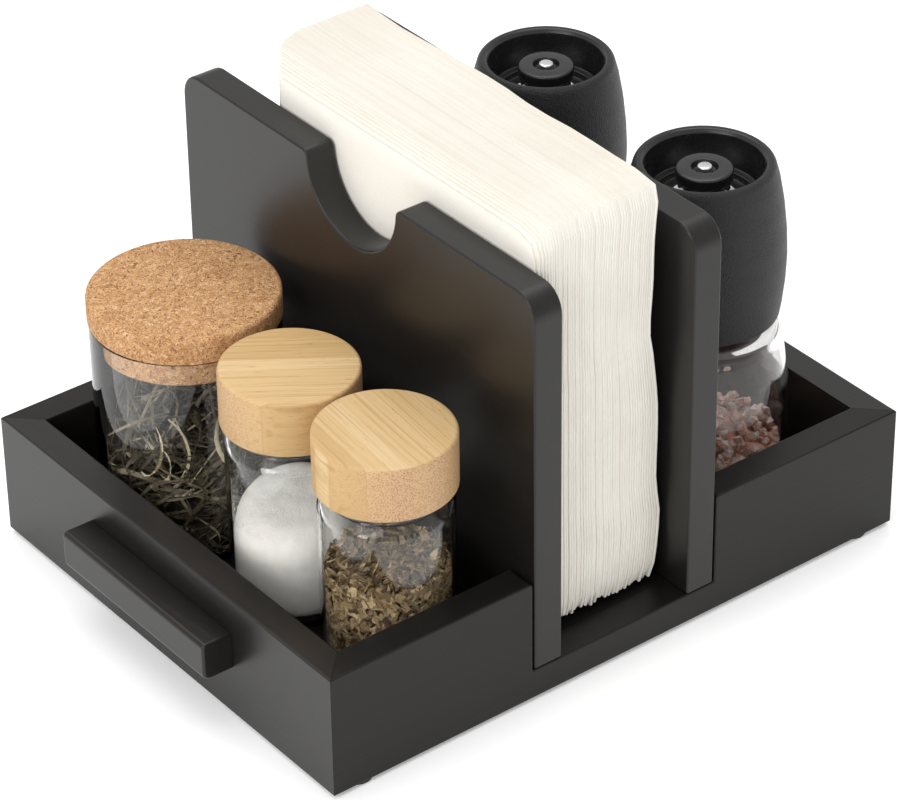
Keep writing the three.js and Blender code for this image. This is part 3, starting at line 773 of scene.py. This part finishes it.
def napkin(index, look):
    rng = random.Random(900 + index)
    share = (index + 0.5) / NAPKIN_COUNT
    pitch = (STACK_RIGHT - STACK_LEFT) / NAPKIN_COUNT
    middle = STACK_LEFT + pitch * (index + 0.5) + rng.uniform(-0.02, 0.02)
    from_left = (index + 0.5) * pitch
    top = STACK_TOP - ease(from_left, *TOP_EASE) - rng.uniform(0, 0.22)
    near = STACK_NEAR + 0.34 * rng.random() ** 4 + ease(from_left, *NEAR_EASE)
    fan = FAN_DEPTH * max(0.0, 1 - from_left / FAN_REACH) ** FAN_POWER
    far = STACK_FAR - rng.uniform(0, 0.5) - fan
    bottom = REST + 0.15 + rng.uniform(0, 0.8)
    heel = rng.uniform(-0.1, 2.2)
    lift = rng.uniform(0.8, 2.8) + 2.2 * (1 - share)
    dice = {"heel": heel, "lift": lift, "near": near, "top": top}
    bow = rng.uniform(-0.06, 0.06)
    path = fold_path(near, far, 14)
    section = fold_section(bottom, top, 22)
    points = []
    for px, py, nx, ny in path:
        flare = 1 + NOSE_FLARE * max(0.0, 1 - (py - near) / 4.0)
        for offset, z in section:
            x = middle + (px + nx * offset) * flare
            x += bow * noise.noise(Vector((py * 0.05, z * 0.05, index * 1.7)))
            points.append(settle(x, py + ny * offset, z, share, dice))
    rows, columns = len(path), len(section)
    faces = [(r * columns + c, r * columns + c + 1, (r + 1) * columns + c + 1, (r + 1) * columns + c)
             for r in range(rows - 1) for c in range(columns - 1)]
    mesh = bpy.data.meshes.new("napkin")
    mesh.from_pydata(points, [], faces)
    name = f"napkin_{index + 1:02d}"
    piece = finish_piece(name, mesh, "napkins", look, ["napkin_stack"], 80.0)


# ======== heaps of small things

BITS = {
    "tea by the wall": 900,
    "tea on top": 200,
    "clinging salt": 900,
    "herbs by the wall": 3600,
    "herbs on top": 1200,
    "herb stalks": 260,
    "crystals by the wall": 800,
    "crystals on top": 330,
}


def leaf(points, faces, rng, start, heading, length, width, curl, limit):
    """A long leaf dried into a twisted, tapering, closed sliver, kept inside the jar's wall."""
    steps = 9
    up = heading.orthogonal().normalized()
    up.rotate(Matrix.Rotation(rng.uniform(0, FULL_TURN), 3, heading))
    axis = heading.cross(up).normalized()
    place_now = start.copy()
    direction = heading.copy()
    base = len(points)
    twist = rng.uniform(-0.5, 0.5)
    for step in range(steps + 1):
        share = step / steps
        fat = width * (0.12 + 0.88 * math.sin(math.pi * (0.06 + 0.88 * share)) ** 0.7)
        side = direction.cross(axis).normalized()
        flat_axis = axis.copy()
        flat_axis.rotate(Matrix.Rotation(twist * step, 3, direction))
        side.rotate(Matrix.Rotation(twist * step, 3, direction))
        for arm in (flat_axis * fat, side * fat * 0.35, flat_axis * -fat, side * fat * -0.35):
            points.append(kept_inside(place_now + arm * 0.5, limit))
        place_now = place_now + direction * (length / steps)
        direction.rotate(Matrix.Rotation(curl / steps * (0.6 + 0.8 * rng.random()), 3, axis))
    for step in range(steps):
        for i in range(4):
            a, b = base + step * 4 + i, base + step * 4 + (i + 1) % 4
            faces.append((a, b, b + 4, a + 4))
    faces.append((base + 3, base + 2, base + 1, base))
    last = base + steps * 4
    faces.append((last, last + 1, last + 2, last + 3))


def kept_inside(point, limit):
    """A point held inside an upright cylinder (x, y, radius, floor, ceiling)."""
    x, y, radius, low, high = limit
    dx, dy = point.x - x, point.y - y
    out = math.hypot(dx, dy)
    if out > radius:
        dx, dy = dx * radius / out, dy * radius / out
    return (x + dx, y + dy, min(max(point.z, low), high))


def flake(points, faces, rng, middle, normal, size, limit):
    """A torn scrap of leaf: an uneven, cupped, closed disc."""
    across = normal.orthogonal().normalized()
    across.rotate(Matrix.Rotation(rng.uniform(0, FULL_TURN), 3, normal))
    other = normal.cross(across)
    base = len(points)
    stretch = rng.uniform(0.25, 0.65)
    cup = rng.uniform(-0.5, 0.5)
    for i in range(6):
        angle = FULL_TURN * i / 6 + rng.uniform(-0.3, 0.3)
        reach = size * rng.uniform(0.55, 1.1)
        u, v = reach * math.cos(angle), reach * stretch * math.sin(angle)
        points.append(kept_inside(middle + across * u + other * v + normal * (cup * u * u / size), limit))
    for offset in (0.1, -0.1):
        points.append(kept_inside(middle + normal * (offset * size + 0.05 * offset), limit))
    for i in range(6):
        j = (i + 1) % 6
        faces.append((base + i, base + j, base + 6))
        faces.append((base + j, base + i, base + 7))


CRYSTAL = bmesh.new()
bmesh.ops.create_icosphere(CRYSTAL, subdivisions=1, radius=1.0)
CRYSTAL_POINTS = [vertex.co.copy() for vertex in CRYSTAL.verts]
CRYSTAL_FACES = [[vertex.index for vertex in face.verts] for face in CRYSTAL.faces]
CRYSTAL.free()


def crystal(points, faces, rng, middle, size, limit):
    """A broken grain: a faceted lump with its corners pushed about."""
    base = len(points)
    angle = rng.uniform(0, FULL_TURN)
    axis = Vector((rng.gauss(0, 1), rng.gauss(0, 1), rng.gauss(0, 1) + 0.01))
    turn = Matrix.Rotation(angle, 3, axis)
    shape = Vector((rng.uniform(0.6, 1.1), rng.uniform(0.6, 1.0), rng.uniform(0.5, 0.9)))
    for corner in CRYSTAL_POINTS:
        pushed = corner * rng.uniform(0.72, 1.12) * size
        moved = turn @ Vector((pushed.x * shape.x, pushed.y * shape.y, pushed.z * shape.z))
        points.append(kept_inside(middle + moved, limit))
    faces.extend([base + i for i in face] for face in CRYSTAL_FACES)


def heap_piece(name, points, faces, body, look, nodes, smooth_to):
    mesh = bpy.data.meshes.new(name)
    mesh.from_pydata([tuple(point) for point in points], [], faces)
    mesh.validate()
    return finish_piece(name, mesh, body, look, nodes, smooth_to)


def mound(name, at, radius, low, level, rough, seed, look, body, nodes=(), lean=(0, 0),
          shoulder=0.0):
    """A heap that fills a jar to a level; its top is uneven, rises by lean for each unit along X and Y, and
    rounds over into its side by the shoulder."""
    shape = bmesh.new()
    segments, rings_up, rings_in = 72, 10, 16
    grid = []
    for i in range(rings_up + 1):
        z = low + (level - shoulder - low) * i / rings_up
        heel = max(0.0, 3.0 - (z - low)) * 0.9
        grid.append([(radius - heel, z)] * segments)
    for i in range(1, rings_in):
        inward = radius * i / rings_in
        grid.append([(radius - inward, level - ease(inward, shoulder, shoulder))] * segments)
    rows = []
    for row_index, row in enumerate(grid):
        verts = []
        for i, (r, z) in enumerate(row):
            angle = FULL_TURN * i / segments
            x, y = at[0] + r * math.cos(angle), at[1] + r * math.sin(angle)
            z += (z - low) / (level - low) * (lean[0] * (x - at[0]) + lean[1] * (y - at[1]))
            if row_index >= rings_up:
                z += rough * noise.fractal(Vector((x * 0.13, y * 0.13, seed)), 1.0, 2.0, 4)
            verts.append(shape.verts.new((x, y, z)))
        rows.append(verts)
    for low_row, high_row in zip(rows, rows[1:]):
        for i in range(segments):
            j = (i + 1) % segments
            shape.faces.new([low_row[i], low_row[j], high_row[j], high_row[i]])
    shape.faces.new(rows[-1])
    shape.faces.new(list(reversed(rows[0])))
    bmesh.ops.recalc_face_normals(shape, faces=shape.faces)
    return finish_piece(name, to_mesh(name, shape), body, look, nodes, 60.0)


def spot(at, angle, out, height):
    """The point this far out from an upright axis, in one direction, at a height."""
    return Vector((at[0] + out * math.cos(angle), at[1] + out * math.sin(angle), height))


def random_heading(rng, lift):
    angle = rng.uniform(0, FULL_TURN)
    return Vector((math.cos(angle), math.sin(angle), rng.gauss(0, lift))).normalized()


# ======== jars

def cork_jar(looks):
    at = CORK_JAR_AT
    glass = [(0, 0), (34.3, 0, 2.4), (34.3, 86, 0.7), (32.4, 86, 0.7), (32.4, 3.2, 3.4), (0, 3.2)]
    glass_piece("cork_jar_wall", glass, at, "cork_jar", looks["glass"], "cork_jar_glass")
    seat = 86.2
    plug = [(0, 76), (31.6, 76, 1.2), (32.1, seat), (34.7, seat, 0.7), (34.7, seat + 10, 1.6), (0, seat + 10)]
    mesh = lathe("cork", plug, at, segments=160, steps=5)
    for vertex in mesh.vertices:
        vertex.co.z += 0.10 * noise.noise(vertex.co * 0.5)
    finish_piece("stopper", mesh, "cork", looks["cork"], ["cork_stopper"], 50.0)
    tea(looks, at)


def tea(looks, at):
    limit = (at[0], at[1], 32.0, REST + 3.6, REST + 75)
    # a near-black mound inside the leaves, painted shade for the depth of the heap
    mound("tea_heart", at, 27.0, REST + 3.8, REST + 27, 5.0, 4.0, looks["tea_painted_shade"], "cork_jar")
    rng = random.Random(21)
    points, faces = [], []
    for _ in range(BITS["tea by the wall"]):
        angle, out = rng.uniform(0, FULL_TURN), 32.0 * math.sqrt(rng.uniform(0.45, 1.0))
        start = spot(at, angle, out, REST + rng.uniform(5, 36))
        heading = Vector((-math.sin(angle), math.cos(angle), rng.gauss(0, 0.55))) * rng.choice((-1, 1))
        heading += random_heading(rng, 0.5) * 0.6
        leaf(points, faces, rng, start, heading.normalized(), rng.uniform(14, 40), rng.uniform(0.6, 2.1),
             rng.gauss(0, 2.6), limit)
    for _ in range(BITS["tea on top"]):
        angle, out = rng.uniform(0, FULL_TURN), 26.0 * math.sqrt(rng.random())
        start = spot(at, angle, out, REST + rng.uniform(26, 40))
        leaf(points, faces, rng, start, random_heading(rng, 0.9), rng.uniform(14, 38), rng.uniform(0.6, 1.8),
             rng.gauss(0, 2.6), limit)
    heap_piece("tea_leaf_heap", points, faces, "cork_jar", looks["tea"], ["tea_leaves"], 50.0)


def spice_jar(name, at, looks, bamboo):
    jar = f"{name}_jar"
    glass = [(0, 0), (23.7, 0, 2.4), (23.7, 67, 3.0), (20.0, 70.6, 2.0), (20.0, 90, 0.8), (18.3, 90, 0.8),
             (18.3, 69.8, 1.6), (22.1, 66.2, 3.0), (22.1, 3.4, 3.2), (0, 3.4)]
    glass_piece(f"{jar}_wall", glass, at, jar, looks["glass"], f"{jar}_glass")
    lid = [(0, 92), (22.45, 92), (22.45, 75), (24.9, 75, 0.5), (24.9, 96, 1.4), (0, 96)]
    mesh = lathe("lid", lid, at, segments=144)
    finish_piece(f"{name}_lid_cap", mesh, f"{name}_lid", looks[bamboo], [f"{name}_lid_shell"], 50.0)


def salt_filling(looks):
    at = SALT_JAR_AT
    mound("salt_heap", at, 21.8, REST + 3.8, REST + 42.0, 0.35, 9.0, looks["salt"], "salt_jar",
          ["table_salt"], (0.20, 0.10), 9.0)
    rng = random.Random(5)
    points, faces = [], []
    limit = (at[0], at[1], 21.9, REST + 5, REST + 66)
    for _ in range(BITS["clinging salt"]):
        angle = rng.gauss(math.radians(190), 0.5)
        z = REST + 37 + abs(rng.gauss(0, 8))
        middle = spot(at, angle, 21.8, z)
        crystal(points, faces, rng, middle, rng.uniform(0.10, 0.24), limit)
    heap_piece("salt_grains", points, faces, "salt_jar", looks["salt"], (), 30.0)


def herb_filling(looks):
    at = HERB_JAR_AT
    radius = 21.9
    # a near-black mound inside the flakes, painted shade for the depth of the heap
    mound("herb_heart", at, 20.0, REST + 4.2, REST + 40.5, 2.0, 2.0, looks["herb_painted_shade"], "herb_jar")
    rng = random.Random(33)
    points, faces = [], []
    limit = (at[0], at[1], radius, REST + 3.8, REST + 66)
    for _ in range(BITS["herbs by the wall"]):
        angle = rng.uniform(0, FULL_TURN)
        out = radius - abs(rng.gauss(0, 0.9))
        outward = Vector((math.cos(angle), math.sin(angle), 0))
        middle = Vector((at[0], at[1], REST + rng.uniform(4.6, 42.5))) + outward * out
        tilt = (outward + random_heading(rng, 0.8) * rng.uniform(0.4, 1.9)).normalized()
        flake(points, faces, rng, middle, tilt, rng.uniform(1.0, 3.9), limit)
    for _ in range(BITS["herbs on top"]):
        angle, out = rng.uniform(0, FULL_TURN), radius * math.sqrt(rng.random())
        x, y = at[0] + out * math.cos(angle), at[1] + out * math.sin(angle)
        hump = 2.0 * noise.fractal(Vector((x * 0.13, y * 0.13, 2.0)), 1.0, 2.0, 4)
        z = REST + 41.2 + hump + rng.uniform(0, 1.6)
        tilt = (Vector((0, 0, 1)) + random_heading(rng, 0.5) * rng.uniform(0.3, 1.6)).normalized()
        flake(points, faces, rng, Vector((x, y, z)), tilt, rng.uniform(1.0, 3.9), limit)
    for _ in range(BITS["herb stalks"]):
        angle, out = rng.uniform(0, FULL_TURN), radius * math.sqrt(rng.uniform(0.6, 1.0))
        start = spot(at, angle, out, REST + rng.uniform(5, 43))
        leaf(points, faces, rng, start, random_heading(rng, 0.7), rng.uniform(3, 9), rng.uniform(0.3, 0.7),
             rng.gauss(0, 0.8), limit)
    heap_piece("herb_flakes", points, faces, "herb_jar", looks["herbs"], ["dried_herbs"], 30.0)


# ======== mills

def mill(side, at, looks, seed):
    name = f"{side}_mill"
    glass = [(0, 0), (33, 0, 3.0), (33, 41, 20), (31.0, 55.5, 20), (29.4, 67, 8), (26.2, 74.0, 3),
             (21, 77.0, 1.0), (21, 98, 0.8), (18.4, 98, 0.8), (18.4, 75.2, 2.0), (25.4, 69.2, 4.0),
             (28.4, 55, 15), (30.4, 40, 10), (30.4, 4.5, 4.0), (0, 4.5)]
    # the grey tint of this glass is painted shade
    glass_piece(f"{name}_jar_wall", glass, at, name, looks["shaded_hazy_glass"], f"{name}_glass", 6)
    shell = [(21.5, 77.3), (28.0, 77.3, 0.5), (28.7, 82, 30), (29.6, 91, 30), (29.95, 100.5, 40),
             (29.5, 110.5, 40), (28.3, 121.5, 30), (26.6, 131.0, 12), (25.0, 136.8, 3.4), (22.7, 138.3, 1.8),
             (21.0, 136.2, 1.4), (20.3, 129.5, 3), (19.9, 124.4, 0.6), (17.6, 124.0, 0.5),
             (16.9, 122.0, 0.5), (12.7, 122.0), (12.7, 119.5), (23.1, 119.5), (23.1, 100), (21.5, 99)]

    def paint_of(r0, z0, r1, z1):
        return 1 if z0 > 121.9 and (r0 + r1) / 2 < 22.4 and z1 > 121 else 0

    mesh = ring_lathe("shell", shell, at, segments=128, steps=6, paint_of=paint_of)
    paints = [looks["mill_black"], looks["gloss_black"]]
    finish_piece(f"{name}_grip", mesh, f"{name}_head", paints, [f"{name}_shell"], 50.0)
    knob(name, at, looks)
    pin = [(0, 92), (2.7, 92), (2.7, 135.4, 0.7), (0, 135.4)]
    finish_piece(f"{name}_spindle", lathe("pin", pin, at, segments=48), name, looks["steel"],
                 [f"{name}_pin"], 45.0)
    pink_filling(name, at, looks, seed)


def knob(name, at, looks):
    """The adjusting knob: a domed disc on a toothed skirt, with raised plus, minus and arrow marks."""
    profile = [(3.0, 127.4), (8.3, 127.4), (8.8, 130.0), (10.3, 130.6, 0.4), (10.3, 134.7, 1.1),
               (4.9, 135.0, 0.4), (4.3, 132.8, 0.3), (3.0, 132.6)]
    shape = bmesh.new()
    shape.from_mesh(ring_lathe("knob", profile, at, segments=80, steps=4))
    for i in range(10):
        spin = Matrix.Translation((at[0], at[1], REST)) @ Matrix.Rotation(FULL_TURN * (i + 0.25) / 10, 4, "Z")
        add_block(shape, spin, (7.2, -0.9, 127.6), (9.5, 0.9, 130.8))
    spin = Matrix.Translation((at[0], at[1], REST)) @ Matrix.Rotation(math.radians(-37), 4, "Z")
    top = (134.6, 134.85)
    add_block(shape, spin, (-7.9, -0.25, top[0]), (-5.6, 0.25, top[1]))
    add_block(shape, spin, (5.6, -0.25, top[0]), (7.9, 0.25, top[1]))
    add_block(shape, spin, (6.5, -1.15, top[0]), (7.0, 1.15, top[1]))
    for side in (-1, 1):
        for i in range(7):
            angle = RIGHT_ANGLE + side * (0.18 + i * 0.1)
            hop = spin @ Matrix.Rotation(angle, 4, "Z")
            wide = 0.22 if i < 5 else 0.75 - 0.35 * (i - 5)
            add_block(shape, hop, (6.7 - wide, -0.35, top[0]), (6.7 + wide, 0.35, top[1]))
    finish_piece(f"{name}_dial", to_mesh("dial", shape), f"{name}_adjuster",
                 looks["gloss_black"], [f"{name}_knob"], 40.0)


def add_block(shape, matrix, low, high):
    """A small box, added to a shape."""
    low, high = Vector(low), Vector(high)
    size = high - low
    made = bmesh.ops.create_cube(shape, size=1.0)
    bmesh.ops.scale(shape, verts=made["verts"], vec=size)
    bmesh.ops.translate(shape, verts=made["verts"], vec=(low + high) / 2)
    bmesh.ops.transform(shape, verts=made["verts"], matrix=matrix)


def pink_filling(name, at, looks, seed):
    radius = 30.0
    look = looks["pink_salt"]
    mound(f"{name}_salt_heart", at, 26.0, REST + 5.2, REST + 20.5, 2.0, seed, look, name)
    rng = random.Random(seed * 13)
    points, faces = [], []
    limit = (at[0], at[1], radius, REST + 4.8, REST + 44)
    for _ in range(BITS["crystals by the wall"]):
        angle = rng.uniform(0, FULL_TURN)
        out = radius - 0.6 - abs(rng.gauss(0, 1.4))
        middle = spot(at, angle, out, REST + rng.uniform(5.5, 23.5))
        crystal(points, faces, rng, middle, rng.uniform(1.0, 3.9), limit)
    for _ in range(BITS["crystals on top"]):
        angle, out = rng.uniform(0, FULL_TURN), (radius - 1) * math.sqrt(rng.random())
        middle = spot(at, angle, out, REST + 22 + rng.uniform(-1, 3))
        crystal(points, faces, rng, middle, rng.uniform(1.1, 3.9), limit)
    heap_piece(f"{name}_crystals", points, faces, name, look, [f"{name}_salt"], 12.0)


# ======== the CAD pieces that stay

def repaint_cad(looks):
    """Gives every CAD node that still shows its own finish."""
    finishes = (("floor_panel", "paint_x"), ("_screw_", "zinc"), ("corner_spline", "beech"),
                ("_lid_insert", "liner"), ("_lid_gasket", "gasket"), ("_bridge", "gloss_black"),
                ("_burr", "ceramic"))
    for name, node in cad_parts.items():
        for part, look in finishes:
            if part in name:
                node.data.materials.clear()
                node.data.materials.append(looks[look])


def add_floor():
    made, tree, shader = material("floor")
    cloud = noisy(tree, place(tree), 3.0, 2)
    tone = ramp(tree, cloud, [(0.3, (0.93, 0.93, 0.93)), (0.7, (0.94, 0.94, 0.94))])
    feed(tree, shader, "Base Color", tone)
    feed(tree, shader, "Roughness", 0.85)
    feed(tree, shader, "Specular IOR Level", 0.1)
    feed(tree, shader, "Emission Color", (1, 1, 1, 1))
    feed(tree, shader, "Emission Strength", FLOOR_GLOW)
    shape = bmesh.new()
    bmesh.ops.create_circle(shape, cap_ends=True, segments=96, radius=14.0)
    mesh = to_mesh("floor", shape)
    mesh.materials.append(made)
    floor = bpy.data.objects.new("floor", mesh)
    bpy.context.scene.collection.objects.link(floor)


def build():
    looks = make_looks()
    build_tray(looks)
    for index in range(NAPKIN_COUNT):
        napkin(index, looks["paper"])
    cork_jar(looks)
    spice_jar("salt", SALT_JAR_AT, looks, "bamboo_salt")
    spice_jar("herb", HERB_JAR_AT, looks, "bamboo_herb")
    salt_filling(looks)
    herb_filling(looks)
    for seed, (side, at) in enumerate(MILLS_AT, 3):
        mill(side, at, looks, seed)
    repaint_cad(looks)


add_camera()
add_light()
add_floor()
build()
